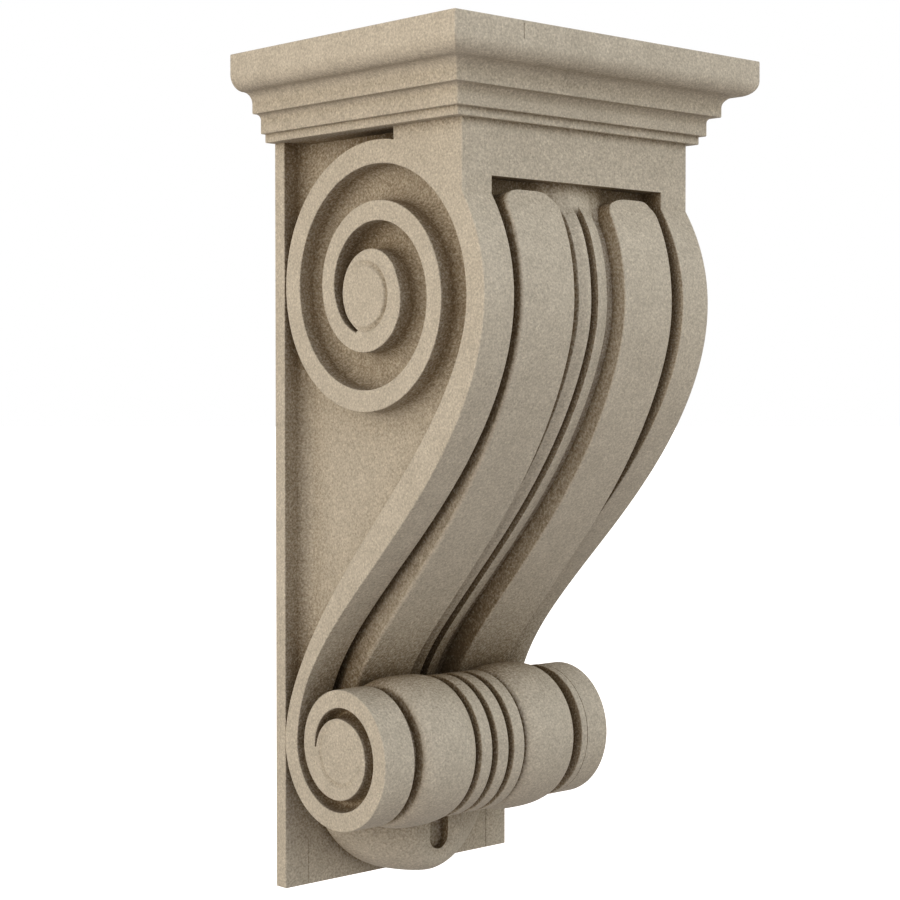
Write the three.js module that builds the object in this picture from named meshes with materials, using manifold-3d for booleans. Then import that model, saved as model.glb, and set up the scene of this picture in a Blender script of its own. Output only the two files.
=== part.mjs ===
// A stone scroll corbel, carved from one block: a moulded cap over an S-shaped body with a volute
// on each side, banded front, a turned roll at the foot and a small bowl-shaped drop under the roll.
// Millimetres. X runs across the wall, +Y points into the wall and Z is up.
// The origin is the middle of the flat back that beds against the wall.
import * as THREE from 'three';
import { mergeVertices } from 'three/addons/utils/BufferGeometryUtils.js';
import Module from 'manifold-3d';

const wasm = await Module();
wasm.setup();

// Whole stone: "out" is measured from the wall and "down" from the top of the cap
const HEIGHT = 600;
const TOP = HEIGHT / 2;
const HALF_WIDTH = 111;
const HEAD_OUT = 199;
const PLATE_OUT = 11;
const SIDE_RELIEF = 21.3;
const CORE_HALF = HALF_WIDTH - SIDE_RELIEF;
const OVERLAP = 2;

// Cap moulding: how far each member overhangs the body, and where it ends below the top
const FASCIA = { over: 39.4, down: 14.2 };
const OVOLO_RADIUS = 11.4;
const CAVETTO_RADIUS = 8;
const UPPER_FILLET = { over: 20, down: 40.4 };
const SMALL_CAVETTO_RADIUS = 4;
const MIDDLE_FILLET = { over: 12.4, down: 54 };
const LOWER_FILLET = { over: 8.4, down: 60 };
const FRONT_SETBACK = 3.4;
const ARC_STEPS = 6;

// Front edge of the S, down from the block under the cap to the wall side of the foot scroll
const BREAK_DOWN = 108.4;
const BELLY = [[199, BREAK_DOWN], [267.9, 213.9], [151.9, 316.2], [97, 372.2]];
const SWEEP = [[97, 372.2], [58, 412], [24.55, 446.8], [24.55, 493.3]];
// Back edge of the S ribbon, on the side of the sunk panel
const BACK_BELLY = [[202.5, 170.5], [209.1, 231.3], [128.8, 306.3], [89.9, 351.6]];
const BACK_SWEEP = [[89.9, 351.6], [55.4, 391.7], [10.6, 448.2], [10.6, 493.3]];
const CURVE_STEPS = 14;

// Volute and foot scroll: each edge of the band starts at "radius" and loses "fall" in every turn.
// Turns count from the top of the spiral towards the wall.
const VOLUTE = {
  out: 106, down: 170.5, eye: 30.5,
  outer: { radius: 105, fall: 41.4, from: -0.038, to: 1.77 },
  inner: { radius: 96.5, fall: 38.8, from: -0.25, to: 1.45 },
};
const SCROLL = {
  out: 71.75, down: 493.3, eye: 25.8,
  outer: { radius: 61.15, fall: 21.9, from: 0.25, to: 1.3 },
  inner: { radius: 47.2, fall: 20.5, from: 0.25, to: 1.3 },
};
const HEART_LAP = 0.05;
const SPIRAL_STEPS = 28;
const EYE_STEPS = 28;
const PANEL_STEP = { out: 130.5, down: 66.5 };

// Front carving, as heights over the plain fillet beside it
const FILLET_INNER = 83.8;
const PANEL_DOWN = 96.5;
const PANEL_DEPTH = 15;
const BAND = { inner: 25, outer: 75, top: 104, corner: 11, edge: 1.6 };
const BAND_RISE = { sunk: 3, proud: 12, from: 215, to: 415 };
const BAND_CORNER_STEPS = 5;
const RIB = { top: 113, fade: 4, groove: 3, grooveDepth: 6, grooveTaper: 0.4, crown: 8, flute: 20 };
const RIB_BELOW_BAND = { start: 5.4, growth: 0.021, from: 200 };
const RIB_SHOULDER_STEPS = 3;
const FLUTE_DEPTH = 6;
const CARVING_ROOT = 24;
const VALLEY_DOWN = 462;

// Roll at the foot, as heights over the end discs
const RING = { width: 10.4, pitch: 16.2, height: 1.9, edge: 0.8, gapDepth: 5 };
const BARREL = { centre: 50, half: 25, height: 4.7, edge: -2, roundness: 2.6 };
const BARREL_STEPS = 8;
const ROLL_GROOVE_DEPTH = 9;
const ROLL_STEPS = 40;

// Drop under the roll: its foot is an arc on the back plate, its front a wedge, blunter lower down
const DROP = {
  down: 505.2, radius: 94.8, reach: 44.8, top: 520, full: 530,
  wedge: 1.37, blunter: 0.54, boxy: 6,
};
const DROP_LIP = DROP.down + DROP.radius;
const DROP_TIP = 0.05;
const DROP_ACROSS_STEPS = 16;
const DROP_LEVELS = 10;
const DROP_SLOT = { half: 6.8, top: 530, down: 579, out: 39 };
const SLOT_STEPS = 8;

const STONE_COLOUR = 0xa89a82;
const STONE_ROUGHNESS = 0.92;
const MERGE_DISTANCE = 1e-4;

// Points and curves in the side view
function side(out, down) {
  return new THREE.Vector2(-out, TOP - down);
}

function bezier(points, steps = CURVE_STEPS) {
  const curve = new THREE.CubicBezierCurve(...points.map(([out, down]) => side(out, down)));
  return curve.getPoints(steps);
}

function spiralPoint(spiral, radius, turn) {
  const angle = 2 * Math.PI * turn;
  return side(spiral.out - radius * Math.sin(angle), spiral.down - radius * Math.cos(angle));
}

function edgeRadius(edge, turn) {
  return edge.radius - edge.fall * (turn - edge.from);
}

function spiralEdge(spiral, edge) {
  const steps = Math.ceil((edge.to - edge.from) * SPIRAL_STEPS);
  const points = [];
  for (let i = 0; i <= steps; i++) {
    const turn = THREE.MathUtils.lerp(edge.from, edge.to, i / steps);
    points.push(spiralPoint(spiral, edgeRadius(edge, turn), turn));
  }
  return points;
}

// Solids
function solidFrom(geometry) {
  geometry.deleteAttribute('normal');
  geometry.deleteAttribute('uv');
  const merged = mergeVertices(geometry, MERGE_DISTANCE);
  const corners = merged.index.array;
  const triangles = [];
  for (let i = 0; i < corners.length; i += 3) {
    const [a, b, c] = corners.slice(i, i + 3);
    if (a !== b && b !== c && c !== a) {
      triangles.push(a, b, c);
    }
  }
  const mesh = new wasm.Mesh({
    numProp: 3,
    vertProperties: new Float32Array(merged.attributes.position.array),
    triVerts: new Uint32Array(triangles),
  });
  return new wasm.Manifold(mesh);
}

// A slab of a side-view outline between two places across the wall
function slab(outline, fromX, toX) {
  const geometry = new THREE.ExtrudeGeometry(new THREE.Shape(outline), {
    depth: toX - fromX,
    bevelEnabled: false,
    steps: 1,
  });
  const across = new THREE.Vector3(1, 0, 0);
  const intoWall = new THREE.Vector3(0, 1, 0);
  const up = new THREE.Vector3(0, 0, 1);
  geometry.applyMatrix4(new THREE.Matrix4().makeBasis(intoWall, up, across));
  geometry.translate(fromX, 0, 0);
  return solidFrom(geometry);
}

function bothSides(outline, fromX, toX) {
  return slab(outline, fromX, toX).add(slab(outline, -toX, -fromX));
}

function signedVolume(points, triangles) {
  let volume = 0;
  for (let i = 0; i < triangles.length; i += 3) {
    const [a, b, c] = [points[triangles[i]], points[triangles[i + 1]], points[triangles[i + 2]]];
    volume += a.dot(new THREE.Vector3().crossVectors(b, c)) / 6;
  }
  return volume;
}

// End face of a loft, wound the same way as its outline
function endFace(outline) {
  const faces = THREE.ShapeUtils.triangulateShape(outline, []);
  const turnsLeft = THREE.ShapeUtils.area(outline) > 0;
  return faces.flatMap(([a, b, c]) => {
    const leftFace = THREE.ShapeUtils.area([outline[a], outline[b], outline[c]]) > 0;
    return leftFace === turnsLeft ? [a, b, c] : [a, c, b];
  });
}

// A closed solid through rings of the same number of points; flatten gives a ring's plane outline
function loft(rings, flatten) {
  const count = rings[0].length;
  const points = rings.flat();
  const triangles = [];
  for (let ring = 0; ring + 1 < rings.length; ring++) {
    for (let i = 0; i < count; i++) {
      const here = ring * count + i;
      const next = ring * count + (i + 1) % count;
      triangles.push(here, next, next + count, here, next + count, here + count);
    }
  }
  const last = count * (rings.length - 1);
  for (const [offset, ring, reversed] of [[0, rings[0], true], [last, rings.at(-1), false]]) {
    const face = endFace(ring.map(flatten)).map((corner) => corner + offset);
    triangles.push(...(reversed ? face.reverse() : face));
  }
  if (signedVolume(points, triangles) < 0) {
    triangles.reverse();
  }
  const geometry = new THREE.BufferGeometry().setFromPoints(points);
  geometry.setIndex(triangles);
  return solidFrom(geometry);
}

// Cap: one moulding on three sides, cut square at the wall
function arc(overCentre, downCentre, radius, fromAngle, toAngle) {
  const points = [];
  for (let i = 0; i <= ARC_STEPS; i++) {
    const angle = THREE.MathUtils.degToRad(THREE.MathUtils.lerp(fromAngle, toAngle, i / ARC_STEPS));
    points.push([overCentre + radius * Math.cos(angle), downCentre + radius * Math.sin(angle)]);
  }
  return points;
}

function capProfile() {
  const ovoloOver = FASCIA.over - OVOLO_RADIUS;
  const ovoloEnd = FASCIA.down + OVOLO_RADIUS;
  const cavettoOver = UPPER_FILLET.over + CAVETTO_RADIUS;
  const smallOver = MIDDLE_FILLET.over + SMALL_CAVETTO_RADIUS;
  return [
    [FASCIA.over, 0],
    ...arc(ovoloOver, FASCIA.down, OVOLO_RADIUS, 0, 90),
    ...arc(cavettoOver, ovoloEnd + CAVETTO_RADIUS, CAVETTO_RADIUS, 270, 180),
    [UPPER_FILLET.over, UPPER_FILLET.down],
    ...arc(smallOver, UPPER_FILLET.down + SMALL_CAVETTO_RADIUS, SMALL_CAVETTO_RADIUS, 270, 180),
    [MIDDLE_FILLET.over, MIDDLE_FILLET.down],
    [LOWER_FILLET.over, MIDDLE_FILLET.down],
    [LOWER_FILLET.over, LOWER_FILLET.down],
  ];
}

function cap() {
  const rings = capProfile().map(([over, down]) => {
    const x = HALF_WIDTH + over;
    const y = -(HEAD_OUT + over - FRONT_SETBACK);
    const z = TOP - down;
    return [[-x, 0], [-x, y], [x, y], [x, 0]].map(([px, py]) => new THREE.Vector3(px, py, z));
  });
  return loft(rings, (p) => new THREE.Vector2(p.x, p.y));
}

// Side relief: head, volute, S ribbon and foot scroll are one raised band, with an eye in each spiral
function ribbonOutline() {
  const capDown = LOWER_FILLET.down - OVERLAP;
  return [
    ...spiralEdge(VOLUTE, VOLUTE.outer).reverse(),
    side(PANEL_STEP.out, PANEL_STEP.down),
    side(PANEL_STEP.out, capDown),
    side(HEAD_OUT, capDown),
    ...bezier(BELLY).slice(0, -1),
    ...bezier(SWEEP).slice(0, -1),
    ...spiralEdge(SCROLL, SCROLL.inner),
    ...spiralEdge(SCROLL, SCROLL.outer).reverse(),
    ...bezier(BACK_SWEEP).reverse().slice(1, -1),
    ...bezier(BACK_BELLY).reverse().slice(0, -1),
    ...spiralEdge(VOLUTE, VOLUTE.inner),
  ];
}

function eyeOutline(spiral) {
  const points = [];
  for (let i = 0; i < EYE_STEPS; i++) {
    points.push(spiralPoint(spiral, spiral.eye, i / EYE_STEPS));
  }
  return points;
}

// The foot scroll's heart, inside the second turn of its outer edge
function scrollHeart() {
  const start = SCROLL.outer.to - HEART_LAP;
  const points = [];
  for (let i = 0; i < SPIRAL_STEPS; i++) {
    const turn = start + i / SPIRAL_STEPS;
    const radius = edgeRadius(SCROLL.outer, turn);
    points.push(spiralPoint(SCROLL, Math.max(radius, SCROLL.eye), turn));
  }
  return points;
}

function sideRelief() {
  const from = CORE_HALF - OVERLAP;
  return bothSides(ribbonOutline(), from, HALF_WIDTH)
    .add(bothSides(eyeOutline(VOLUTE), from, HALF_WIDTH))
    .add(bothSides(scrollHeart(), from, HALF_WIDTH));
}

// Front of the S as stations with an outward normal, from the sunk panel's top edge to the valley
function frontStations() {
  const points = [side(HEAD_OUT, PANEL_DOWN), ...bezier(BELLY), ...bezier(SWEEP).slice(1)];
  const stations = points.map((point, i) => {
    const before = points[Math.max(i - 1, 0)];
    const after = points[Math.min(i + 1, points.length - 1)];
    const along = after.clone().sub(before).normalize();
    return { point, normal: new THREE.Vector2(along.y, -along.x), down: TOP - point.y };
  });
  return stations.filter(({ down }) => down <= VALLEY_DOWN);
}

function stationAt(stations, down) {
  const next = stations.findIndex((station) => station.down >= down);
  if (next <= 0) {
    return stations[0];
  }
  const [a, b] = [stations[next - 1], stations[next]];
  const share = (down - a.down) / (b.down - a.down);
  const point = a.point.clone().lerp(b.point, share);
  const normal = a.normal.clone().lerp(b.normal, share).normalize();
  return { point, normal, down };
}

function lifted(station, x, height) {
  const { point, normal } = station;
  return new THREE.Vector3(x, point.x + normal.x * height, point.y + normal.y * height);
}

function bandHeight(down) {
  const share = THREE.MathUtils.smoothstep(down, BAND_RISE.from, BAND_RISE.to);
  return THREE.MathUtils.lerp(-BAND_RISE.sunk, BAND_RISE.proud, share);
}

function ribHeight(down) {
  const { start, growth, from } = RIB_BELOW_BAND;
  return bandHeight(down) - start - growth * Math.max(0, down - from);
}

// Body behind the front carving, cut back by the depth of the sunk panel
function core(stations) {
  const capDown = LOWER_FILLET.down - OVERLAP;
  const front = [side(HEAD_OUT, BREAK_DOWN), ...bezier(BELLY).slice(1), ...bezier(SWEEP).slice(1)];
  const cheek = [side(0, capDown), side(HEAD_OUT, capDown), ...front, side(0, SCROLL.down)];
  const sunk = stations.map((station) => {
    const { point, normal } = station;
    return point.clone().addScaledVector(normal, -PANEL_DEPTH);
  });
  const middle = [
    side(0, capDown),
    side(HEAD_OUT, capDown),
    side(HEAD_OUT, PANEL_DOWN),
    side(HEAD_OUT - PANEL_DEPTH, PANEL_DOWN),
    ...sunk.slice(1),
    side(0, SCROLL.down),
  ];
  const plate = [
    side(0, capDown),
    side(PLATE_OUT, capDown),
    side(PLATE_OUT, HEIGHT),
    side(0, HEIGHT),
  ];
  return slab(middle, -FILLET_INNER - OVERLAP, FILLET_INNER + OVERLAP)
    .add(bothSides(cheek, FILLET_INNER, CORE_HALF))
    .add(slab(plate, -HALF_WIDTH, HALF_WIDTH));
}

// One of the two broad bands, with a rounded top; direction is -1 for the left one and 1 for the right
function band(stations, direction) {
  const downs = [];
  for (let i = 0; i <= BAND_CORNER_STEPS; i++) {
    const angle = (Math.PI / 2) * (i / BAND_CORNER_STEPS);
    downs.push(BAND.top + BAND.corner * (1 - Math.cos(angle)));
  }
  const below = BAND.top + BAND.corner + OVERLAP;
  downs.push(...stations.map(({ down }) => down).filter((down) => down > below));
  const rings = downs.map((down) => {
    const station = stationAt(stations, down);
    const left = Math.max(0, BAND.corner - (down - BAND.top));
    const inset = BAND.corner - Math.sqrt(BAND.corner ** 2 - left ** 2);
    const [inner, outer] = [BAND.inner + inset, BAND.outer - inset];
    const top = bandHeight(down);
    const section = [
      [inner, -CARVING_ROOT],
      [inner, top - BAND.edge],
      [inner + BAND.edge, top],
      [outer - BAND.edge, top],
      [outer, top - BAND.edge],
      [outer, -CARVING_ROOT],
    ];
    return section.map(([x, height]) => lifted(station, direction * x, height));
  });
  return loft(rings, (p) => new THREE.Vector2(p.x, p.y));
}

// Half of the section across the ribs: centre groove, rib, rounded shoulder, flute beside the band
function ribSection(level, cut) {
  const flute = level - FLUTE_DEPTH * cut;
  const section = [
    [RIB.groove - RIB.grooveTaper, level - RIB.grooveDepth * cut],
    [RIB.groove, level],
  ];
  for (let i = 0; i <= RIB_SHOULDER_STEPS; i++) {
    const share = i / RIB_SHOULDER_STEPS;
    const x = THREE.MathUtils.lerp(RIB.crown, RIB.flute, share);
    section.push([x, THREE.MathUtils.lerp(level, flute, THREE.MathUtils.smoothstep(share, 0, 1))]);
  }
  section.push([BAND.inner + OVERLAP, flute], [BAND.inner + OVERLAP, -CARVING_ROOT]);
  return section;
}

// The pair of ribs between the bands, running out into a smooth floor at their top
function ribs(stations) {
  const downs = [PANEL_DOWN, RIB.top - RIB.fade, RIB.top, RIB.top + RIB.fade];
  const below = RIB.top + 2 * RIB.fade;
  downs.push(...stations.map(({ down }) => down).filter((down) => down > below));
  const rings = downs.map((down) => {
    const station = stationAt(stations, down);
    const cut = THREE.MathUtils.clamp((down - RIB.top) / RIB.fade, 0, 1);
    const right = ribSection(ribHeight(down), cut);
    const left = right.map(([x, height]) => [-x, height]).reverse();
    return [...left, ...right].map(([x, height]) => lifted(station, x, height));
  });
  return loft(rings, (p) => new THREE.Vector2(p.x, p.y));
}

// Roll: rings in the middle, a swelling barrel on each side, then the end discs
function rollProfile() {
  const half = [];
  const shoulder = RING.height - RING.edge;
  for (const middle of [0, RING.pitch]) {
    const [left, right] = [middle - RING.width / 2, middle + RING.width / 2];
    if (middle > 0) {
      half.push([left, -RING.gapDepth], [left, shoulder], [left + RING.edge, RING.height]);
    }
    half.push([right - RING.edge, RING.height], [right, shoulder], [right, -RING.gapDepth]);
  }
  half.push([BARREL.centre - BARREL.half, -RING.gapDepth]);
  for (let i = 0; i <= BARREL_STEPS; i++) {
    const share = Math.sin(Math.PI * (i / BARREL_STEPS - 0.5));
    const swell = Math.sqrt(1 - Math.abs(share) ** BARREL.roundness);
    const height = BARREL.edge + (BARREL.height - BARREL.edge) * swell;
    half.push([BARREL.centre + BARREL.half * share, height]);
  }
  half.push([BARREL.centre + BARREL.half, -ROLL_GROOVE_DEPTH], [FILLET_INNER, -ROLL_GROOVE_DEPTH]);
  return [...half.map(([x, height]) => [-x, height]).reverse(), ...half];
}

// Outline of the roll: the scroll's outer edge for three quarters of a turn, then closed to the valley
function rollRadius(turn) {
  const valleyTurn = 1;
  const radius = edgeRadius(SCROLL.outer, turn);
  const share = Math.max(0, (turn - valleyTurn) / SCROLL.outer.from);
  return THREE.MathUtils.lerp(radius, SCROLL.inner.radius, share);
}

function rollOutline(height) {
  const points = [];
  for (let i = 0; i < ROLL_STEPS; i++) {
    const turn = SCROLL.outer.from + i / ROLL_STEPS;
    points.push(spiralPoint(SCROLL, rollRadius(turn) + height, turn));
  }
  return points;
}

function roll() {
  const rings = rollProfile().map(([x, height]) => {
    return rollOutline(height).map((p) => new THREE.Vector3(x, p.x, p.y));
  });
  const discs = bothSides(rollOutline(0), FILLET_INNER, CORE_HALF);
  return loft(rings, (p) => new THREE.Vector2(p.y, p.z)).add(discs);
}

// Drop: a wedge-fronted bowl with a round-ended slot down its middle
function dropRing(down) {
  const share = THREE.MathUtils.clamp((down - DROP.full) / (DROP_LIP - DROP.full), 0, 1);
  const reach = DROP.reach * (1 - share ** DROP.boxy) ** (1 / DROP.boxy);
  const foot = Math.sqrt(DROP.radius ** 2 - (down - DROP.down) ** 2);
  const power = 2 / (DROP.wedge + DROP.blunter * share ** 2);
  const front = [];
  for (let i = 0; i <= DROP_ACROSS_STEPS; i++) {
    const angle = Math.PI * (i / DROP_ACROSS_STEPS);
    const cosine = Math.cos(angle);
    const x = -Math.sign(cosine) * foot * Math.abs(cosine) ** power;
    front.push([x, PLATE_OUT + reach * Math.sin(angle) ** power]);
  }
  const inPlate = PLATE_OUT - OVERLAP;
  const ring = [[-foot, inPlate], ...front, [foot, inPlate]];
  return ring.map(([x, out]) => new THREE.Vector3(x, -out, TOP - down));
}

function slotCutter() {
  const { half, top, down, out } = DROP_SLOT;
  const endCentre = TOP - down + half;
  const shape = new THREE.Shape();
  shape.moveTo(-half, TOP - top);
  shape.lineTo(-half, endCentre);
  shape.absarc(0, endCentre, half, Math.PI, 2 * Math.PI, false);
  shape.lineTo(half, TOP - top);
  const geometry = new THREE.ExtrudeGeometry(shape, {
    depth: DROP.reach,
    bevelEnabled: false,
    curveSegments: SLOT_STEPS,
  });
  geometry.rotateX(Math.PI / 2);
  geometry.translate(0, -out, 0);
  return solidFrom(geometry);
}

function drop() {
  const rings = [];
  for (let i = 0; i <= DROP_LEVELS; i++) {
    const fall = Math.sin((Math.PI / 2) * (i / DROP_LEVELS));
    rings.push(dropRing(THREE.MathUtils.lerp(DROP.top, DROP_LIP - DROP_TIP, fall)));
  }
  return loft(rings, (p) => new THREE.Vector2(p.x, p.y)).subtract(slotCutter());
}

function build() {
  const stations = frontStations();
  return core(stations)
    .add(cap())
    .add(sideRelief())
    .add(band(stations, -1))
    .add(band(stations, 1))
    .add(ribs(stations))
    .add(roll())
    .add(drop());
}

function meshOf(solid, name) {
  const { vertProperties, triVerts } = solid.getMesh();
  const geometry = new THREE.BufferGeometry();
  geometry.setAttribute('position', new THREE.BufferAttribute(new Float32Array(vertProperties), 3));
  geometry.setIndex(new THREE.BufferAttribute(new Uint32Array(triVerts), 1));
  geometry.computeVertexNormals();
  const stone = new THREE.MeshStandardMaterial({
    color: STONE_COLOUR,
    roughness: STONE_ROUGHNESS,
    metalness: 0,
  });
  const mesh = new THREE.Mesh(geometry, stone);
  mesh.name = name;
  return mesh;
}

const corbel = new THREE.Group();
corbel.name = 'stone_corbel';
corbel.add(meshOf(build(), 'corbel'));

export default corbel;
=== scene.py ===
import math

import bmesh
import bpy
import numpy as np
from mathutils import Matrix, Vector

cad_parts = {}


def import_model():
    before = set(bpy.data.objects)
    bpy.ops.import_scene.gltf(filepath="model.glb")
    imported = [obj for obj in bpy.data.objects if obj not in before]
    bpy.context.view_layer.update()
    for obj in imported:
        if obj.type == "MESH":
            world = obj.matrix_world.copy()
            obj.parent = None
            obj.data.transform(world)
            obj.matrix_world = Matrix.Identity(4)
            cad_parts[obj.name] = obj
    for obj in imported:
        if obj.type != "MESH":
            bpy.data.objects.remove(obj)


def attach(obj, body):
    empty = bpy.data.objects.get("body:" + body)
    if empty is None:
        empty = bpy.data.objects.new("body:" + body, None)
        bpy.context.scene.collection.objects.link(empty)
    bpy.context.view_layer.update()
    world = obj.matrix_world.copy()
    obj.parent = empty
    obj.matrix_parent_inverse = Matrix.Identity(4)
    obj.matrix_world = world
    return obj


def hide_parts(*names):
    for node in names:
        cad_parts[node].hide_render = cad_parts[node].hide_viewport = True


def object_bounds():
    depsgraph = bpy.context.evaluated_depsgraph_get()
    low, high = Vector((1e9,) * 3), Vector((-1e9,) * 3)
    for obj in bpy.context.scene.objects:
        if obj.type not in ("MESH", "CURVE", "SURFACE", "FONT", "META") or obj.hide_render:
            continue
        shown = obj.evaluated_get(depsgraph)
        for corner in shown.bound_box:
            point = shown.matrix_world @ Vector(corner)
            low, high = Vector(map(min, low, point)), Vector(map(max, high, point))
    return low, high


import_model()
cad_low, cad_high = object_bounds()

# Carved stone corbel, in millimetres: "out" is measured from the wall and "down" from the top of the cap
MM = 0.001
HEIGHT = (cad_high.z - cad_low.z) / MM
TOP = cad_high.z / MM
HALF_WIDTH = 111.0
HEAD_OUT = 199.0
PLATE_OUT = 11.0
SIDE_RELIEF = 21.3
CORE_HALF = HALF_WIDTH - SIDE_RELIEF
OVERLAP = 2.0
TOUCH = 0.01
ARRIS = 0.8
ARRIS_STEPS = 4
HIDDEN_ARRIS = 0.1
MITRE_LIMIT = 0.4
SHARP_ANGLE = 28.0
NORMAL_WEIGHT = 100

# Cap moulding: overhang of each member over the body, and its lower end
FASCIA = {"over": 39.4, "down": 14.2}
OVOLO_RADIUS = 11.4
CAVETTO_RADIUS = 8.0
UPPER_FILLET = {"over": 20.0, "down": 40.4}
SMALL_CAVETTO_RADIUS = 4.0
MIDDLE_FILLET = {"over": 12.4, "down": 54.0}
LOWER_FILLET = {"over": 8.4, "down": 60.0}
FRONT_SETBACK = 3.4
ARC_STEPS = 18

# Front and back edges of the S ribbon
BREAK_DOWN = 108.4
BELLY = [[199, BREAK_DOWN], [267.9, 213.9], [151.9, 316.2], [97, 372.2]]
SWEEP = [[97, 372.2], [58, 412], [24.55, 446.8], [24.55, 493.3]]
BACK_BELLY = [[202.5, 170.5], [209.1, 231.3], [128.8, 306.3], [89.9, 351.6]]
BACK_SWEEP = [[89.9, 351.6], [55.4, 391.7], [10.6, 448.2], [10.6, 493.3]]
CURVE_STEPS = 60

# Volute and foot scroll: each edge of the band starts at "radius" and loses "fall" in every turn
VOLUTE = {
    "out": 106.0, "down": 170.5, "eye": 29.5, "seat": 0.6,
    "outer": {"radius": 105.0, "fall": 41.4, "from": -0.038, "to": 1.79},
    "inner": {"radius": 96.5, "fall": 38.8, "from": -0.25, "to": 1.42},
}
SCROLL = {
    "out": 71.75, "down": 493.3, "eye": 25.8, "eye_low": 1.6, "floor": 9.0,
    "outer": {"radius": 61.15, "fall": 21.9, "from": 0.25, "to": 1.3},
    "inner": {"radius": 47.2, "fall": 20.5, "from": 0.25, "to": 1.3},
}
HEART_LAP = 0.05
SPIRAL_STEPS = 120
PANEL_STEP = {"out": 130.5, "down": 66.5}

# Hollow gutters where the side relief meets its sunk ground
COVE_RADIUS = 10.0
COVE_SINK = 0.03
COVE_STEPS = 14
PLATE_COVE_STEPS = 90

# Front carving, as heights over the plain fillet beside it
FILLET_INNER = 83.8
PANEL_DOWN = 96.5
PANEL_DEPTH = 17.0
BAND = {
    "inner": 25.0, "outer": 75.0, "top": 104.5,
    "corner": 12.0, "inner_corner": 18.0, "outer_corner": 13.0,
}
BAND_ROUND = {"inner": 1.2, "outer": 2.6}
BAND_RISE = {
    "head": 1.2, "sunk": 1.7, "proud": 13.0,
    "settle": 172.0, "from": 215.0, "to": 415.0,
}
BAND_CORNER_STEPS = 16
BAND_ROUND_STEPS = 8
RIB = {"top": 113.0, "fade": 3.0, "groove": 3.5, "groove_depth": 10.0, "groove_taper": 0.4}
RIB_FADE_STEPS = 5
RIB_SHOULDER = {"crown": 5.6, "brow": 13.8, "flute": 16.2}
FLARE_SHOULDER = {"crown": 3.6, "brow": 13.8, "flute": 23.0}
BROW_FALL = 1.5
RIB_BELOW_BAND = {"start": 5.4, "growth": 0.021, "from": 200.0}
RIB_SHOULDER_STEPS = 8
PANEL_FLARE = 48.0
PANEL_FLARE_STEPS = 16
FLARE_SINK = {"depth": 3.5, "to": 122.0}
FLARE_FALL = 4.0
FLUTE_DEPTH = 6.8
CARVING_ROOT = 24.0
VALLEY_DOWN = 462.0

# Roll at the foot, as heights over the end discs
RING = {"width": 10.4, "pitch": 16.2, "height": 1.9, "gap_depth": 5.0}
BARREL = {"centre": 50.0, "half": 25.0, "height": 4.7, "edge": -2.0, "roundness": 2.6}
BARREL_STEPS = 32
ROLL_GROOVE_DEPTH = 9.0
ROLL_STEPS = 180

# Drop under the roll
DROP = {
    "down": 505.2, "radius": 94.8, "reach": 50.5, "top": 520.0, "full": 530.0,
    "wedge": 1.2, "blunter": 0.6, "boxy": 4.5, "rim": 0.2, "rim_boxy": 8.0,
}
DROP_UNDERCUT = {"depth": 4.5, "rise": 7.0, "share": 0.3}
DROP_LIP = DROP["down"] + DROP["radius"]
DROP_TIP = 0.05
DROP_ACROSS_STEPS = 144
DROP_LEVELS = 60
DROP_SLOT = {"half": 9.0, "top": 530.0, "down": 580.5, "out": 47.5}
SLOT_STEPS = 24
SLOT_LIP = {"width": 14.0, "depth": 4.5}

# Fine marks: a shallow ring cut on each eye, deepest on one side, and thin vertical seams on the front
EYE_RINGS = [
    {"out": 99.2, "down": 173.6, "radius": 22.9, "depth": 2.9, "deep_out": 0.9, "deep_down": 0.1},
    {"out": 72.5, "down": 494.3, "radius": 22.3, "depth": 1.6, "deep_out": -0.6, "deep_down": 0.6},
]
EYE_RING_HALF = 2.8
EYE_RING_STEPS = 96
EYE_RING_ACROSS = 10
SKIN = 0.02
SEAM_HALF = 0.25
SEAM_DEPTH = 0.6
FAINT_SEAM_DEPTH = 0.3
PLATE_SEAM = (566.0, HEIGHT + OVERLAP)
CAP_SEAM = (2.0, 12.0)


def bezier(points, steps=CURVE_STEPS):
    a, b, c, d = np.array(points, float)
    t = np.linspace(0, 1, steps + 1)[:, None]
    return a * (1 - t) ** 3 + 3 * b * t * (1 - t) ** 2 + 3 * c * t ** 2 * (1 - t) + d * t ** 3


def spiral_points(spiral, radius, turn):
    angle = 2 * math.pi * turn
    return np.stack([spiral["out"] - radius * np.sin(angle), spiral["down"] - radius * np.cos(angle)], -1)


def edge_radius(edge, turn):
    return edge["radius"] - edge["fall"] * (turn - edge["from"])


def spiral_edge(spiral, edge):
    steps = math.ceil((edge["to"] - edge["from"]) * SPIRAL_STEPS)
    turn = np.linspace(edge["from"], edge["to"], steps + 1)
    return spiral_points(spiral, edge_radius(edge, turn), turn)


def smoothstep(value, low, high):
    share = np.clip((value - low) / (high - low), 0, 1)
    return share * share * (3 - 2 * share)


# Solids
def signed_volume(points, faces):
    total = 0.0
    for face in faces:
        corner = points[face[0]]
        fan = points[list(face[1:])] - corner
        total += np.dot(corner, np.cross(fan[:-1], fan[1:]).sum(0))
    return total


def solid(name, points, faces):
    points = np.asarray(points, float)
    if signed_volume(points, faces) < 0:
        faces = [tuple(reversed(face)) for face in faces]
    placed = np.stack([points[:, 0], -points[:, 1], TOP - points[:, 2]], -1) * MM
    mesh = bpy.data.meshes.new(name)
    mesh.from_pydata(placed.tolist(), [], faces)
    made = bpy.data.objects.new(name, mesh)
    bpy.context.scene.collection.objects.link(made)
    return made


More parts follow.
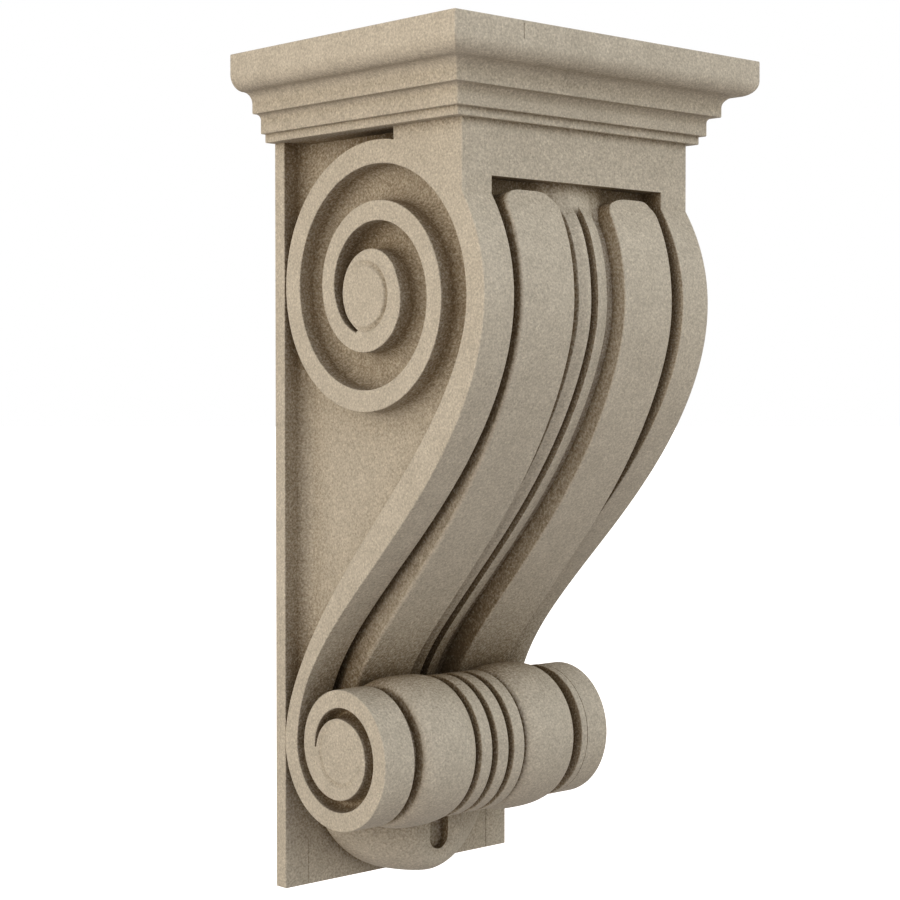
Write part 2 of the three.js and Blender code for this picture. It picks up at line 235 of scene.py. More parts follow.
def loft(name, rings):
    """A closed solid through rings of the same number of (x, out, down) points."""
    rings = np.asarray(rings, float)
    count = rings.shape[1]
    faces = []
    for ring in range(len(rings) - 1):
        for i in range(count):
            here = ring * count + i
            after = ring * count + (i + 1) % count
            faces.append((here, after, after + count, here + count))
    faces.append(tuple(reversed(range(count))))
    faces.append(tuple(range(count * (len(rings) - 1), count * len(rings))))
    return solid(name, rings.reshape(-1, 3), faces)


def inset(outline, distance):
    """A closed side-view outline moved inwards by a small distance."""
    before = outline - np.roll(outline, 1, 0)
    after = np.roll(outline, -1, 0) - outline
    normals = []
    for edge in (before, after):
        edge = edge / np.linalg.norm(edge, axis=1)[:, None]
        normals.append(np.stack([-edge[:, 1], edge[:, 0]], -1))
    x, y = outline.T
    turn = np.sign(np.sum(x * np.roll(y, -1) - y * np.roll(x, -1)))
    bend = np.maximum(1 + (normals[0] * normals[1]).sum(1), MITRE_LIMIT)
    mitre = (normals[0] + normals[1]) / bend[:, None]
    return outline + turn * distance * mitre


def slab(name, outline, plain_x, soft_x, arris=ARRIS):
    """A slab of a side-view outline, with a softened arris round its face at soft_x."""
    outline = np.asarray(outline, float)
    direction = math.copysign(1, soft_x - plain_x)
    sections = [(plain_x, 0.0)]
    for i in range(ARRIS_STEPS + 1):
        angle = math.pi / 2 * i / ARRIS_STEPS
        sections.append((soft_x - direction * arris * (1 - math.sin(angle)), arris * (1 - math.cos(angle))))
    rings = []
    for x, back in sections:
        ring = inset(outline, back)
        rings.append(np.column_stack([np.full(len(ring), x), ring]))
    return loft(name, rings)


def both_sides(name, outline, plain_x, soft_x):
    return [slab(name, outline, sign * plain_x, sign * soft_x) for sign in (-1, 1)]


def apply_modifiers(thing):
    view = bpy.context.evaluated_depsgraph_get()
    shape = bpy.data.meshes.new_from_object(thing.evaluated_get(view))
    thing.modifiers.clear()
    thing.data = shape


def combine(base, others, operation):
    for other in others:
        step = base.modifiers.new("combine", "BOOLEAN")
        step.operation = operation
        step.solver = "MANIFOLD"
        step.object = other
        apply_modifiers(base)
        bpy.data.objects.remove(other)
    return base


# Cap
def arc(over, down, radius, start, end, steps=ARC_STEPS):
    angle = np.radians(np.linspace(start, end, steps + 1))
    return np.stack([over + radius * np.cos(angle), down + radius * np.sin(angle)], -1)


def soft_corner(over, down, start, end):
    """Rounded corner of the moulding: start and end are the ways its arc faces, in degrees."""
    middle = math.radians((start + end) / 2)
    reach = math.sqrt(2) * ARRIS
    centre_over = over - reach * math.cos(middle)
    centre_down = down - reach * math.sin(middle)
    return arc(centre_over, centre_down, ARRIS, start, end, ARRIS_STEPS)


def cap_profile():
    ovolo_over = FASCIA["over"] - OVOLO_RADIUS
    ovolo_end = FASCIA["down"] + OVOLO_RADIUS
    cavetto_over = UPPER_FILLET["over"] + CAVETTO_RADIUS
    small_over = MIDDLE_FILLET["over"] + SMALL_CAVETTO_RADIUS
    return np.concatenate([
        soft_corner(FASCIA["over"], 0, -90, 0),
        arc(ovolo_over, FASCIA["down"], OVOLO_RADIUS, 0, 90),
        arc(cavetto_over, ovolo_end + CAVETTO_RADIUS, CAVETTO_RADIUS, 270, 180),
        soft_corner(UPPER_FILLET["over"], UPPER_FILLET["down"], 0, 90),
        arc(small_over, UPPER_FILLET["down"] + SMALL_CAVETTO_RADIUS, SMALL_CAVETTO_RADIUS, 270, 180),
        soft_corner(MIDDLE_FILLET["over"], MIDDLE_FILLET["down"], 0, 90),
        [[LOWER_FILLET["over"], MIDDLE_FILLET["down"]]],
        soft_corner(LOWER_FILLET["over"], LOWER_FILLET["down"], 0, 90),
    ])


def cap():
    rings = []
    for over, down in cap_profile():
        x = HALF_WIDTH + over
        out = HEAD_OUT + over - FRONT_SETBACK
        angle = np.radians(np.linspace(0, 90, ARRIS_STEPS + 1))
        corner_x = x - ARRIS * (1 - np.cos(angle))
        corner_out = out - ARRIS * (1 - np.sin(angle))
        right = [(x, 0.0), *zip(corner_x, corner_out)]
        left = [(-px, po) for px, po in reversed(right)]
        rings.append([(px, po, down) for px, po in right + left])
    return loft("cap", rings)


# Side relief
def ribbon_outline():
    cap_down = LOWER_FILLET["down"] - OVERLAP
    return np.concatenate([
        spiral_edge(VOLUTE, VOLUTE["outer"])[::-1],
        [[PANEL_STEP["out"], PANEL_STEP["down"]]],
        [[PANEL_STEP["out"], cap_down]],
        [[HEAD_OUT, cap_down]],
        bezier(BELLY)[:-1],
        bezier(SWEEP)[:-1],
        spiral_edge(SCROLL, SCROLL["inner"]),
        spiral_edge(SCROLL, SCROLL["outer"])[::-1],
        bezier(BACK_SWEEP)[::-1][1:-1],
        bezier(BACK_BELLY)[::-1][:-1],
        spiral_edge(VOLUTE, VOLUTE["inner"]),
    ])


def eye_outline():
    turn = VOLUTE["seat"] + np.arange(SPIRAL_STEPS) / SPIRAL_STEPS
    return spiral_points(VOLUTE, VOLUTE["eye"], turn)


def scroll_heart():
    turn = SCROLL["outer"]["to"] - HEART_LAP + np.arange(SPIRAL_STEPS) / SPIRAL_STEPS
    eye = SCROLL["eye"] - SCROLL["eye_low"] * np.cos(2 * math.pi * turn)
    return spiral_points(SCROLL, np.maximum(edge_radius(SCROLL["outer"], turn), eye), turn)


def scroll_floor():
    """Outline of the raised ground in the scroll's groove, along the middle of its band."""
    start = SCROLL["outer"]["from"]
    turn = np.linspace(start, start + 1, SPIRAL_STEPS + 1)
    middle = (edge_radius(SCROLL["outer"], turn) + edge_radius(SCROLL["inner"], turn)) / 2
    return spiral_points(SCROLL, middle, turn)


def free_gap(place, way, walls):
    """Free distance from a wall to the next wall across the ground."""
    nearest = math.inf
    for wall in walls:
        edge = np.roll(wall, -1, 0) - wall
        offset = wall - place
        slant = way[0] * edge[:, 1] - way[1] * edge[:, 0]
        slant = np.where(np.abs(slant) < TOUCH, TOUCH, slant)
        distance = (offset[:, 0] * edge[:, 1] - offset[:, 1] * edge[:, 0]) / slant
        share = (offset[:, 0] * way[1] - offset[:, 1] * way[0]) / slant
        hits = distance[(share >= 0) & (share <= 1) & (distance > TOUCH)]
        nearest = min(nearest, hits.min(initial=math.inf))
    return nearest


def coves(curve, facing, walls, ground=CORE_HALF):
    """Hollow rounding along a wall's foot, on both sides: facing is 1 or -1 for its open side."""
    along = np.gradient(curve, axis=0)
    along /= np.linalg.norm(along, axis=1)[:, None]
    ways = facing * np.stack([along[:, 1], -along[:, 0]], -1)
    angle = np.linspace(1.5 * math.pi, math.pi, COVE_STEPS + 1)
    rise = COVE_RADIUS * (1 + np.sin(angle)) - COVE_SINK
    height = np.concatenate([[-OVERLAP, -OVERLAP], rise, rise[-1:]])
    reaches = [min(COVE_RADIUS, free_gap(place, way, walls) / 2) for place, way in zip(curve, ways)]
    lapped = np.pad(reaches, 1, mode="edge")
    reaches = np.maximum(np.maximum(lapped[:-2], lapped[2:]), reaches)
    sections = []
    for place, way, reach in zip(curve, ways, reaches):
        hollow = reach * (1 + np.cos(angle)) - COVE_SINK
        across = np.concatenate([[-OVERLAP], hollow[:1], hollow, [-OVERLAP]])
        sections.append(place + across[:, None] * way)
    made = []
    for sign in (-1, 1):
        rings = [np.column_stack([sign * (ground + height), flat]) for flat in sections]
        made.append(loft("cove", rings))
    return made


def side_coves():
    plate = np.linspace([PLATE_OUT, LOWER_FILLET["down"]], [PLATE_OUT, SCROLL["down"]], PLATE_COVE_STEPS)
    soffit = np.array([[PLATE_OUT, LOWER_FILLET["down"]], [HEAD_OUT, LOWER_FILLET["down"]]])
    walls = [ribbon_outline(), eye_outline(), scroll_heart(), plate, soffit]
    back = np.concatenate([bezier(BACK_BELLY)[:-1], bezier(BACK_SWEEP)])
    made = coves(plate, 1, walls)
    made += coves(back, -1, walls)
    scroll_ground = CORE_HALF + SCROLL["floor"]
    made += coves(spiral_edge(VOLUTE, VOLUTE["inner"]), 1, walls)
    made += coves(eye_outline(), -1, walls)
    made += coves(spiral_edge(SCROLL, SCROLL["inner"]), 1, walls, scroll_ground)
    made += coves(scroll_heart(), -1, walls, scroll_ground)
    made += coves(spiral_edge(VOLUTE, VOLUTE["outer"]), -1, walls)
    return made


def side_relief():
    plain = CORE_HALF - OVERLAP
    made = both_sides("ribbon", ribbon_outline(), plain, HALF_WIDTH)
    made += both_sides("eye", eye_outline(), plain, HALF_WIDTH)
    made += both_sides("heart", scroll_heart(), plain, HALF_WIDTH)
    made += both_sides("floor", scroll_floor(), plain, CORE_HALF + SCROLL["floor"])
    return made + side_coves()


# Front of the S: stations from the sunk panel's top edge to the valley, with an outward normal
def front_stations():
    points = np.concatenate([[[HEAD_OUT, PANEL_DOWN]], bezier(BELLY), bezier(SWEEP)[1:]])
    along = np.gradient(points, axis=0)
    along /= np.linalg.norm(along, axis=1)[:, None]
    normals = np.stack([along[:, 1], -along[:, 0]], -1)
    keep = points[:, 1] <= VALLEY_DOWN
    return points[keep], normals[keep]


def lifted(stations, down, section):
    """A section of (x, height) points set on the front at a place down the S."""
    points, normals = stations
    here = [np.interp(down, points[:, 1], values) for values in (*points.T, *normals.T)]
    x, height = np.array(section, float).T
    size = math.hypot(here[2], here[3])
    return np.stack([x, here[0] + here[2] / size * height, here[1] + here[3] / size * height], -1)


def band_height(down):
    sinking = smoothstep(down, BAND["top"], BAND_RISE["settle"])
    rising = smoothstep(down, BAND_RISE["from"], BAND_RISE["to"])
    sunk = BAND_RISE["head"] - (BAND_RISE["head"] + BAND_RISE["sunk"]) * sinking
    return sunk + (BAND_RISE["sunk"] + BAND_RISE["proud"]) * rising


def rib_height(down):
    below = RIB_BELOW_BAND["start"] + RIB_BELOW_BAND["growth"] * max(0.0, down - RIB_BELOW_BAND["from"])
    return band_height(down) - below


def core(stations):
    points, normals = stations
    cap_down = LOWER_FILLET["down"] - OVERLAP
    foot = [[0, SCROLL["down"]]]
    head = [[0, cap_down], [HEAD_OUT, cap_down]]
    cheek = np.concatenate([head, bezier(BELLY), bezier(SWEEP)[1:], foot])
    sunk = (points - PANEL_DEPTH * normals)[1:]
    panel_top = [[HEAD_OUT, PANEL_DOWN], [HEAD_OUT - PANEL_DEPTH, PANEL_DOWN]]
    middle = np.concatenate([head, panel_top, sunk, foot])
    plate = [[0, cap_down], [PLATE_OUT, cap_down], [PLATE_OUT, HEIGHT], [0, HEIGHT]]
    made = [slab("core", middle, -FILLET_INNER - OVERLAP, FILLET_INNER + OVERLAP, HIDDEN_ARRIS)]
    made += both_sides("cheek", cheek, CORE_HALF, FILLET_INNER)
    made += both_sides("plate", plate, 0, HALF_WIDTH)
    return made


def band_section(down):
    left = max(0.0, 1 - (down - BAND["top"]) / BAND["corner"])
    back = 1 - math.sqrt(1 - left ** 2)
    inner = BAND["inner"] + back * BAND["inner_corner"]
    outer = BAND["outer"] - back * BAND["outer_corner"]
    angle = np.linspace(0, math.pi / 2, BAND_ROUND_STEPS + 1)
    rounding = np.stack([1 - np.cos(angle), np.sin(angle) - 1], -1)
    top = band_height(down)
    inner_arc = (inner, top) + BAND_ROUND["inner"] * rounding
    outer_arc = (outer, top) + BAND_ROUND["outer"] * rounding * (-1, 1)
    return np.concatenate([[[inner, -CARVING_ROOT]], inner_arc, outer_arc[::-1], [[outer, -CARVING_ROOT]]])


def bands(stations):
    angle = np.linspace(0, math.pi / 2, BAND_CORNER_STEPS + 1)
    downs = list(BAND["top"] + BAND["corner"] * (1 - np.cos(angle)))
    downs += [down for down in stations[0][:, 1] if down > BAND["top"] + BAND["corner"] + OVERLAP]
    made = []
    for sign in (-1, 1):
        rings = [lifted(stations, down, band_section(down) * (sign, 1)) for down in downs]
        made.append(loft("band", rings))
    return made


def slope(start, end, steps):
    """A smooth S-shaped fall from one (x, height) point to another."""
    share = np.linspace(0, 1, steps + 1)
    x = start[0] + (end[0] - start[0]) * share
    return np.stack([x, start[1] + (end[1] - start[1]) * smoothstep(share, 0, 1)], -1)


def rib_section(level, cut):
    """Two ribs that grow out of a smooth flare with cut, a groove between and flutes beside them."""
    flute = level - FLARE_FALL - (FLUTE_DEPTH - FLARE_FALL) * cut
    crown_x, brow_x, flute_x = [
        FLARE_SHOULDER[place] + (RIB_SHOULDER[place] - FLARE_SHOULDER[place]) * cut
        for place in RIB_SHOULDER
    ]
    brow = level - BROW_FALL
    edge = BAND["inner"] - BAND_ROUND["inner"]
    right = np.concatenate([
        [[RIB["groove"] - RIB["groove_taper"], level - RIB["groove_depth"] * cut], [RIB["groove"], level]],
        slope((crown_x, level), (brow_x, brow), RIB_SHOULDER_STEPS)[:-1],
        slope((brow_x, brow), (flute_x, flute), RIB_SHOULDER_STEPS),
        slope((edge, flute), (PANEL_FLARE, -PANEL_DEPTH - OVERLAP), PANEL_FLARE_STEPS),
        [[PANEL_FLARE, -CARVING_ROOT]],
    ])
    return np.concatenate([right[::-1] * (-1, 1), right])


def ribs(stations):
    fade = RIB["top"] + RIB["fade"] * np.linspace(-1, 1, RIB_FADE_STEPS)
    downs = [PANEL_DOWN, *fade]
    downs += [down for down in stations[0][:, 1] if down > RIB["top"] + 2 * RIB["fade"]]
    rings = []
    for down in downs:
        cut = smoothstep(down, RIB["top"] - RIB["fade"], RIB["top"] + RIB["fade"])
        sink = FLARE_SINK["depth"] * (1 - smoothstep(down, PANEL_DOWN, FLARE_SINK["to"]))
        rings.append(lifted(stations, down, rib_section(rib_height(down) - sink, cut)))
    return loft("ribs", rings)


# Roll at the foot
def roll_profile():
    angle = np.linspace(0, math.pi / 2, ARRIS_STEPS + 1)
    half = []
    for middle in (0, RING["pitch"]):
        rim = middle + RING["width"] / 2 - ARRIS * (1 - np.cos(angle))
        rise = RING["height"] - ARRIS * (1 - np.sin(angle))
        edge = [(middle + RING["width"] / 2, -RING["gap_depth"]), *zip(rim, rise)]
        if middle > 0:
            half += [(2 * middle - x, height) for x, height in edge]
        half += edge[::-1]
    half.append((BARREL["centre"] - BARREL["half"], -RING["gap_depth"]))
    for i in range(BARREL_STEPS + 1):
        share = math.sin(math.pi * (i / BARREL_STEPS - 0.5))
        swell = math.sqrt(1 - abs(share) ** BARREL["roundness"])
        height = BARREL["edge"] + (BARREL["height"] - BARREL["edge"]) * swell
        half.append((BARREL["centre"] + BARREL["half"] * share, height))
    half.append((BARREL["centre"] + BARREL["half"], -ROLL_GROOVE_DEPTH))
    half.append((FILLET_INNER + OVERLAP, -ROLL_GROOVE_DEPTH))
    return [(-x, height) for x, height in reversed(half)] + half


def roll_outline(height):
    turn = SCROLL["outer"]["from"] + np.arange(ROLL_STEPS) / ROLL_STEPS
    share = np.maximum(0, (turn - 1) / SCROLL["outer"]["from"])
    radius = edge_radius(SCROLL["outer"], turn) * (1 - share) + SCROLL["inner"]["radius"] * share
    return spiral_points(SCROLL, radius + height, turn)


def roll():
    rings = []
    for x, height in roll_profile():
        outline = roll_outline(height)
        rings.append(np.column_stack([np.full(len(outline), x), outline]))
    return [loft("roll", rings), *both_sides("disc", roll_outline(0), CORE_HALF, FILLET_INNER)]


# Drop under the roll
def slot_lip(x, down):
    """How far the surface rolls in beside the slot."""
    end = DROP_SLOT["down"] - DROP_SLOT["half"]
    beside = np.hypot(x, max(0.0, down - end)) - DROP_SLOT["half"]
    short = np.clip(1 - beside / SLOT_LIP["width"], 0, 1)
    return SLOT_LIP["depth"] * short ** 2


def drop_ring(down):
    share = np.clip((down - DROP["full"]) / (DROP_LIP - DROP["full"]), 0, 1)
    reach = DROP["reach"] * (1 - share ** DROP["boxy"]) ** (1 / DROP["boxy"])
    foot = math.sqrt(DROP["radius"] ** 2 - (down - DROP["down"]) ** 2)
    power = 2 / (DROP["wedge"] + DROP["blunter"] * share ** 2)
    angle = np.linspace(0, math.pi, DROP_ACROSS_STEPS + 1)
    cosine = np.cos(angle)
    x = -np.sign(cosine) * foot * np.abs(cosine) ** power
    rim = (1 - (np.abs(x) / foot) ** DROP["rim_boxy"]).clip(0) ** (1 / DROP["rim_boxy"])
    wedge = np.clip(np.sin(angle), 0, 1) ** power
    out = PLATE_OUT + reach * (wedge + (rim - wedge) * DROP["rim"])
    out -= np.minimum(slot_lip(x, down), out - PLATE_OUT)
    near_plate = (1 - (out - PLATE_OUT) / DROP_UNDERCUT["rise"]).clip(0, 1) ** 2
    x -= np.sign(x) * near_plate * min(DROP_UNDERCUT["depth"], DROP_UNDERCUT["share"] * foot)
    x = np.concatenate([x[:1], x, x[-1:]])
    out = np.concatenate([[PLATE_OUT - OVERLAP], out, [PLATE_OUT - OVERLAP]])
    return np.stack([x, out, np.full(len(x), down)], -1)


def drop():
    fall = np.sin(np.linspace(0, math.pi / 2, DROP_LEVELS + 1))
    downs = DROP["top"] + (DROP_LIP - DROP_TIP - DROP["top"]) * fall
    made = loft("drop", [drop_ring(down) for down in downs])
    angle = np.linspace(0, math.pi, SLOT_STEPS + 1)
    half = DROP_SLOT["half"]
    top = DROP_SLOT["top"]
    end = DROP_SLOT["down"] - half
    slot_x = np.concatenate([[half], half * np.cos(angle), [-half]])
    slot_down = np.concatenate([[top], end + half * np.sin(angle), [top]])
    rings = []
    for out in (DROP_SLOT["out"], DROP_SLOT["out"] + DROP["reach"]):
        rings.append(np.stack([slot_x, np.full(len(slot_x), out), slot_down], -1))
    return combine(made, [loft("slot", rings)], "DIFFERENCE")


# Fine marks
def ring_cutter(name, loops):
    """A closed ring whose section runs through matching loops of points."""
    points = np.stack(loops)
    count, steps = points.shape[:2]
    faces = []
    for i in range(count):
        for j in range(steps):
            k = (i + 1) % count
            n = (j + 1) % steps
            faces.append((i * steps + j, i * steps + n, k * steps + n, k * steps + j))
    return solid(name, points.reshape(-1, 3), faces)


def eye_ring(mark, side):
    """A shallow round-bottomed ring, deepest on one side of the eye."""
    angle = np.arange(EYE_RING_STEPS) * 2 * math.pi / EYE_RING_STEPS
    cosine, sine = np.cos(angle), np.sin(angle)
    depth = mark["depth"] * (1 + mark["deep_out"] * cosine + mark["deep_down"] * sine) / 2
    shares = np.linspace(-1, 1, EYE_RING_ACROSS + 1)
    section = [(share, SKIN - depth * (1 + math.cos(math.pi * share)) / 2) for share in shares]
    section += [(1, np.full(EYE_RING_STEPS, OVERLAP)), (-1, np.full(EYE_RING_STEPS, OVERLAP))]
    loops = []
    for share, level in section:
        radius = mark["radius"] + share * EYE_RING_HALF
        out = mark["out"] + radius * cosine
        loops.append(np.stack([side * (HALF_WIDTH + level), out, mark["down"] + radius * sine], -1))
    return ring_cutter("eye_ring", loops)


def box(name, x, out, down):
    low, high = zip(x, out, down)
    corners = [(low[0], low[1]), (high[0], low[1]), (high[0], high[1]), (low[0], high[1])]
    return loft(name, [[(*corner, level) for corner in corners] for level in (low[2], high[2])])


def disc_seam(x):
    loops = []
    for across, height in ((-1, -SEAM_DEPTH), (1, -SEAM_DEPTH), (1, OVERLAP), (-1, OVERLAP)):
        outline = roll_outline(height)
        loops.append(np.column_stack([np.full(len(outline), x + across * SEAM_HALF), outline]))
    return ring_cutter("seam", loops)


def front_seam(x, out, downs, depth):
    return box("seam", (x - SEAM_HALF, x + SEAM_HALF), (out - depth, out + OVERLAP), downs)


def seams():
    cap_out = HEAD_OUT + FASCIA["over"] - FRONT_SETBACK
    return [
        front_seam(-CORE_HALF, PLATE_OUT, PLATE_SEAM, FAINT_SEAM_DEPTH),
        front_seam(CORE_HALF, PLATE_OUT, PLATE_SEAM, SEAM_DEPTH),
        front_seam(-CORE_HALF, cap_out, CAP_SEAM, SEAM_DEPTH),
        disc_seam(CORE_HALF),
    ]


# The whole stone
def carve():
    stations = front_stations()
    pieces = core(stations)
    pieces += side_relief()
    pieces += bands(stations)
    pieces += [ribs(stations), cap(), drop()]
    pieces += roll()
    stone = combine(pieces[0], pieces[1:], "UNION")
    marks = [eye_ring(mark, side) for mark in EYE_RINGS for side in (-1, 1)]
    combine(stone, marks + seams(), "DIFFERENCE")
    stone.name = "corbel_stone"
    stone.data.shade_smooth()
    stone.data.set_sharp_from_angle(angle=math.radians(SHARP_ANGLE))
    weighted = stone.modifiers.new("weighted", "WEIGHTED_NORMAL")
    weighted.mode = "FACE_AREA"
    weighted.weight = NORMAL_WEIGHT
    weighted.keep_sharp = True
    apply_modifiers(stone)
    return stone


# Stone finish: grain of several sizes that shifts the tone, painted shade that darkens it towards the foot,
# and dark brown painted shade in sheltered hollows and narrow grooves
WHITE = (1, 1, 1, 1)
CLOUD = {"scale": 9.0, "range": (0.3, 0.7), "tone": (0.965, 1.035)}
MOTTLE = {"scale": 70.0, "range": (0.25, 0.75), "tone": (0.95, 1.05)}
GRAIN = {"scale": 620.0, "range": (0.25, 0.75), "tone": (0.78, 1.22)}
SAND = {"scale": 900.0, "range": (0.0, 1.0), "tone": (0.88, 1.12)}
DULL_STONE = (0.505, 0.480, 0.405, 1)
PALE_STONE = (0.533, 0.510, 0.437, 1)
SAND_BUMP = 0.35
BUMP = {"strength": 0.35, "distance": 0.0006}
STONE_ROUGHNESS = 0.92
STONE_SPECULAR = 0.25
# Painted shade and light: the stone colour is darker towards the foot and lighter towards the head
FOOT_PAINTED_SHADE = 0.925
HEAD_PAINTED_LIGHT = 1.06
# Painted shade: ambient occlusion darkens the colour to a brown tint in hollows, creases and under
# overhangs, with extra painted shade in the narrowest grooves
SHADE_REACH = 0.12
SHADE_DARKEST = 0.25
SHADE_CURVE = 0.66
HOLLOW_SHADE_TINT = (0.395, 0.305, 0.2, 1)
SHADE_SPECKLE = 0.6
NARROW_SHADE_TINT = (0.5, 0.47, 0.41, 1)
NARROW_CLOSED = 0.05
NARROW_OPEN = 0.28
SHADE_SAMPLES = 8


class Nodes:
    """Short ways to add shader nodes and links to one material or world."""

    def __init__(self, owner):
        owner.use_nodes = True
        self.tree = owner.node_tree
        self.tree.nodes.clear()

    def add(self, kind, inputs=None, **settings):
        node = self.tree.nodes.new(kind)
        for name, value in settings.items():
            setattr(node, name, value)
        for name, value in (inputs or {}).items():
            if isinstance(value, bpy.types.NodeSocket):
                self.tree.links.new(value, node.inputs[name])
            else:
                node.inputs[name].default_value = value
        return node

    def math(self, operation, first, second):
        return self.add("ShaderNodeMath", {0: first, 1: second}, operation=operation).outputs[0]

    def remap(self, value, low, high, to_low, to_high):
        inputs = {"Value": value, "From Min": low, "From Max": high, "To Min": to_low, "To Max": to_high}
        return self.add("ShaderNodeMapRange", inputs).outputs["Result"]

    def mix(self, factor, first, second, blend="MIX"):
        node = self.add("ShaderNodeMix", data_type="RGBA", blend_type=blend)
        for socket, value in ((node.inputs[0], factor), (node.inputs[6], first), (node.inputs[7], second)):
            if isinstance(value, bpy.types.NodeSocket):
                self.tree.links.new(value, socket)
            else:
                socket.default_value = value
        return node.outputs[2]


def stone_material():
    material = bpy.data.materials.new("stone")
    nodes = Nodes(material)
    place = nodes.add("ShaderNodeTexCoord").outputs["Object"]

    def noise(scale, detail, roughness=0.5):
        inputs = {"Vector": place, "Scale": scale, "Detail": detail, "Roughness": roughness}
        return nodes.add("ShaderNodeTexNoise", inputs).outputs["Fac"]

    cloud = noise(CLOUD["scale"], 3.0)
    mottle = noise(MOTTLE["scale"], 3.0)
    grain = noise(GRAIN["scale"], 2.0, 0.6)
    sand = nodes.add("ShaderNodeTexVoronoi", {"Vector": place, "Scale": SAND["scale"]})
    speck = nodes.add("ShaderNodeSeparateColor", {"Color": sand.outputs["Color"]}).outputs[0]
    rise = nodes.add("ShaderNodeSeparateXYZ", {"Vector": place}).outputs["Z"]
    # Painted shade: the tone falls towards the foot and rises towards the head, then the grain layers shift
    # it
    tone = nodes.remap(rise, (TOP - HEIGHT) * MM, TOP * MM, FOOT_PAINTED_SHADE, HEAD_PAINTED_LIGHT)
    for value, layer in ((cloud, CLOUD), (mottle, MOTTLE), (grain, GRAIN), (speck, SAND)):
        tone = nodes.math("MULTIPLY", tone, nodes.remap(value, *layer["range"], *layer["tone"]))
    base_colour = nodes.mix(mottle, DULL_STONE, PALE_STONE)
    grey = nodes.add("ShaderNodeCombineColor", {0: tone, 1: tone, 2: tone}).outputs[0]
    base_colour = nodes.mix(1.0, base_colour, grey, "MULTIPLY")
    # Painted shade from ambient occlusion in hollows and creases, broken up by the grain
    shade_ao = nodes.add("ShaderNodeAmbientOcclusion", {"Distance": SHADE_REACH}, samples=SHADE_SAMPLES)
    open_share = shade_ao.outputs["AO"]
    openness = nodes.remap(open_share, SHADE_DARKEST, 1.0, 0.0, 1.0)
    openness = nodes.math("POWER", openness, SHADE_CURVE)
    broken = nodes.remap(grain, *GRAIN["range"], -SHADE_SPECKLE, SHADE_SPECKLE)
    broken = nodes.math("MULTIPLY", broken, nodes.math("SUBTRACT", 1.0, openness))
    uneven = {0: openness, 1: broken}
    openness = nodes.add("ShaderNodeMath", uneven, operation="ADD", use_clamp=True).outputs[0]
    painted_shade = nodes.mix(openness, HOLLOW_SHADE_TINT, WHITE)
    colour = nodes.mix(1.0, base_colour, painted_shade, "MULTIPLY")
    # Extra painted shade in the narrowest grooves
    narrow = nodes.remap(open_share, NARROW_CLOSED, NARROW_OPEN, 0.0, 1.0)
    colour = nodes.mix(narrow, nodes.mix(1.0, colour, NARROW_SHADE_TINT, "MULTIPLY"), colour)
    bump_height = nodes.math("ADD", grain, nodes.math("MULTIPLY", speck, SAND_BUMP))
    bump_inputs = {"Strength": BUMP["strength"], "Distance": BUMP["distance"], "Height": bump_height}
    bump = nodes.add("ShaderNodeBump", bump_inputs)
    shader = nodes.add("ShaderNodeBsdfPrincipled", {
        "Base Color": colour,
        "Roughness": STONE_ROUGHNESS,
        "Specular IOR Level": STONE_SPECULAR,
        "Normal": bump.outputs["Normal"],
    })
    nodes.add("ShaderNodeOutputMaterial", {"Surface": shader.outputs[0]})
    return material


# Studio
CAMERA_PLACE = (-1.0092, -1.1655, 0.0583)
CAMERA_HEADING = -42.565
CAMERA_DOWN = 1.553
CAMERA_LENS = 80.76
SENSOR_WIDTH = 36.0
EVEN_LIGHT = (0.21, 0.17, 0.16, 1)
SOFT_LIGHT_SPREAD = 6.0
SOFT_LIGHTS = [
    {"from": (-1.0, 0.0, 0.0), "colour": (2.90, 2.55, 2.12, 1)},
    {"from": (0.69, -0.69, 0.22), "colour": (1.55, 1.44, 1.17, 1)},
    {"from": (0.0, -0.707, 0.707), "colour": (0.92, 0.98, 1.10, 1)},
    {"from": (0.5, 0.85, 0.17), "colour": (1.2, 1.15, 1.0, 1)},
]
FILL_LIGHT = {
    "place": (-0.5, -1.6, 1.0), "target": (0, -0.15, 0.1),
    "size": 1.2, "power": 1.6, "colour": (1.0, 0.98, 0.94),
}
FLOOR_LEVEL = -0.9
FLOOR_RADIUS = 60.0
FLOOR_STEPS = 96
FLOOR_COLOUR = (0.93, 0.93, 0.93, 1)
FLOOR_GLOW = 0.9
BACKDROP_RADIUS = 70.0


def camera():
    data = bpy.data.cameras.new("camera")
    data.sensor_width = SENSOR_WIDTH
    data.lens = CAMERA_LENS
    made = bpy.data.objects.new("camera", data)
    made.location = CAMERA_PLACE
    made.rotation_euler = (math.radians(90 - CAMERA_DOWN), 0, math.radians(CAMERA_HEADING))
    bpy.context.scene.collection.objects.link(made)
    bpy.context.scene.camera = made


def floor():
    angle = np.linspace(0, 2 * math.pi, FLOOR_STEPS, endpoint=False)
    rim = FLOOR_RADIUS * np.stack([np.cos(angle), np.sin(angle)], -1)
    points = np.column_stack([rim, np.full(FLOOR_STEPS, FLOOR_LEVEL)])
    mesh = bpy.data.meshes.new("floor")
    mesh.from_pydata(points.tolist(), [], [tuple(range(FLOOR_STEPS))])
    made = bpy.data.objects.new("floor", mesh)
    material = bpy.data.materials.new("floor")
    nodes = Nodes(material)
    shader = nodes.add("ShaderNodeBsdfPrincipled", {
        "Base Color": FLOOR_COLOUR,
        "Roughness": 0.9,
        "Specular IOR Level": 0.0,
        "Emission Color": WHITE,
        "Emission Strength": FLOOR_GLOW,
    })
    nodes.add("ShaderNodeOutputMaterial", {"Surface": shader.outputs[0]})
    mesh.materials.append(material)
    made.visible_diffuse = False
    bpy.context.scene.collection.objects.link(made)


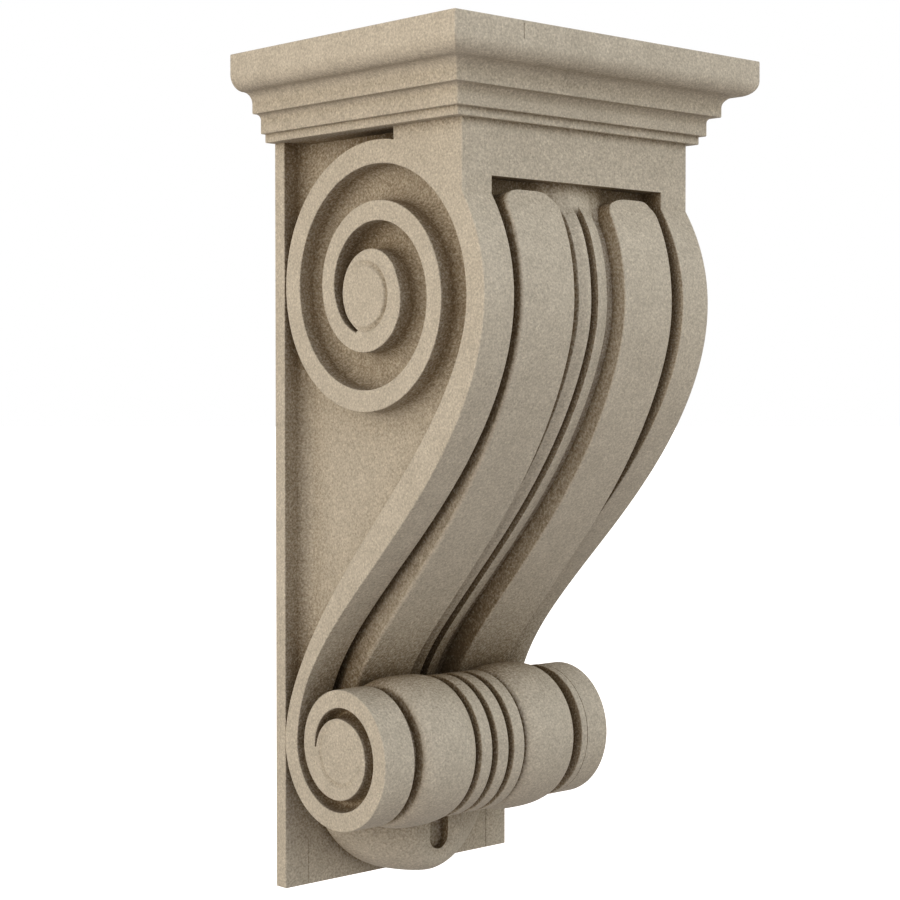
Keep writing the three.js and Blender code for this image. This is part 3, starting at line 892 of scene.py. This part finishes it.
def fill_light():
    data = bpy.data.lights.new("fill", "AREA")
    data.shape = "DISK"
    data.size = FILL_LIGHT["size"]
    data.energy = FILL_LIGHT["power"]
    data.color = FILL_LIGHT["colour"]
    made = bpy.data.objects.new("fill", data)
    made.location = FILL_LIGHT["place"]
    toward = np.subtract(FILL_LIGHT["target"], FILL_LIGHT["place"])
    heading = math.atan2(toward[1], toward[0]) - math.pi / 2
    tilt = math.atan2(math.hypot(toward[0], toward[1]), -toward[2])
    made.rotation_euler = (tilt, 0, heading)
    made.visible_camera = False
    bpy.context.scene.collection.objects.link(made)


def backdrop():
    mesh = bpy.data.meshes.new("backdrop")
    shape = bmesh.new()
    bmesh.ops.create_icosphere(shape, subdivisions=3, radius=BACKDROP_RADIUS)
    shape.to_mesh(mesh)
    shape.free()
    material = bpy.data.materials.new("backdrop")
    nodes = Nodes(material)
    glow = nodes.add("ShaderNodeEmission", {"Color": WHITE, "Strength": 1.0})
    nodes.add("ShaderNodeOutputMaterial", {"Surface": glow.outputs[0]})
    mesh.materials.append(material)
    made = bpy.data.objects.new("backdrop", mesh)
    made.visible_diffuse = False
    made.visible_glossy = False
    made.visible_shadow = False
    bpy.context.scene.collection.objects.link(made)


def world():
    made = bpy.data.worlds.new("studio")
    bpy.context.scene.world = made
    nodes = Nodes(made)
    way = nodes.add("ShaderNodeTexCoord").outputs["Generated"]
    colour = EVEN_LIGHT
    for light in SOFT_LIGHTS:
        pair = {0: way, 1: light["from"]}
        facing = nodes.add("ShaderNodeVectorMath", pair, operation="DOT_PRODUCT").outputs["Value"]
        share = nodes.math("POWER", nodes.math("MAXIMUM", facing, 0.0), SOFT_LIGHT_SPREAD)
        colour = nodes.mix(share, colour, light["colour"], "ADD")
    glow = nodes.add("ShaderNodeBackground", {"Color": colour, "Strength": 1.0})
    nodes.add("ShaderNodeOutputWorld", {"Surface": glow.outputs[0]})


def studio():
    camera()
    floor()
    backdrop()
    world()
    fill_light()
    bpy.context.scene.view_settings.view_transform = "Standard"


stone = carve()
stone.data.materials.clear()
stone.data.materials.append(stone_material())
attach(stone, "root")
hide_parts("corbel")
studio()
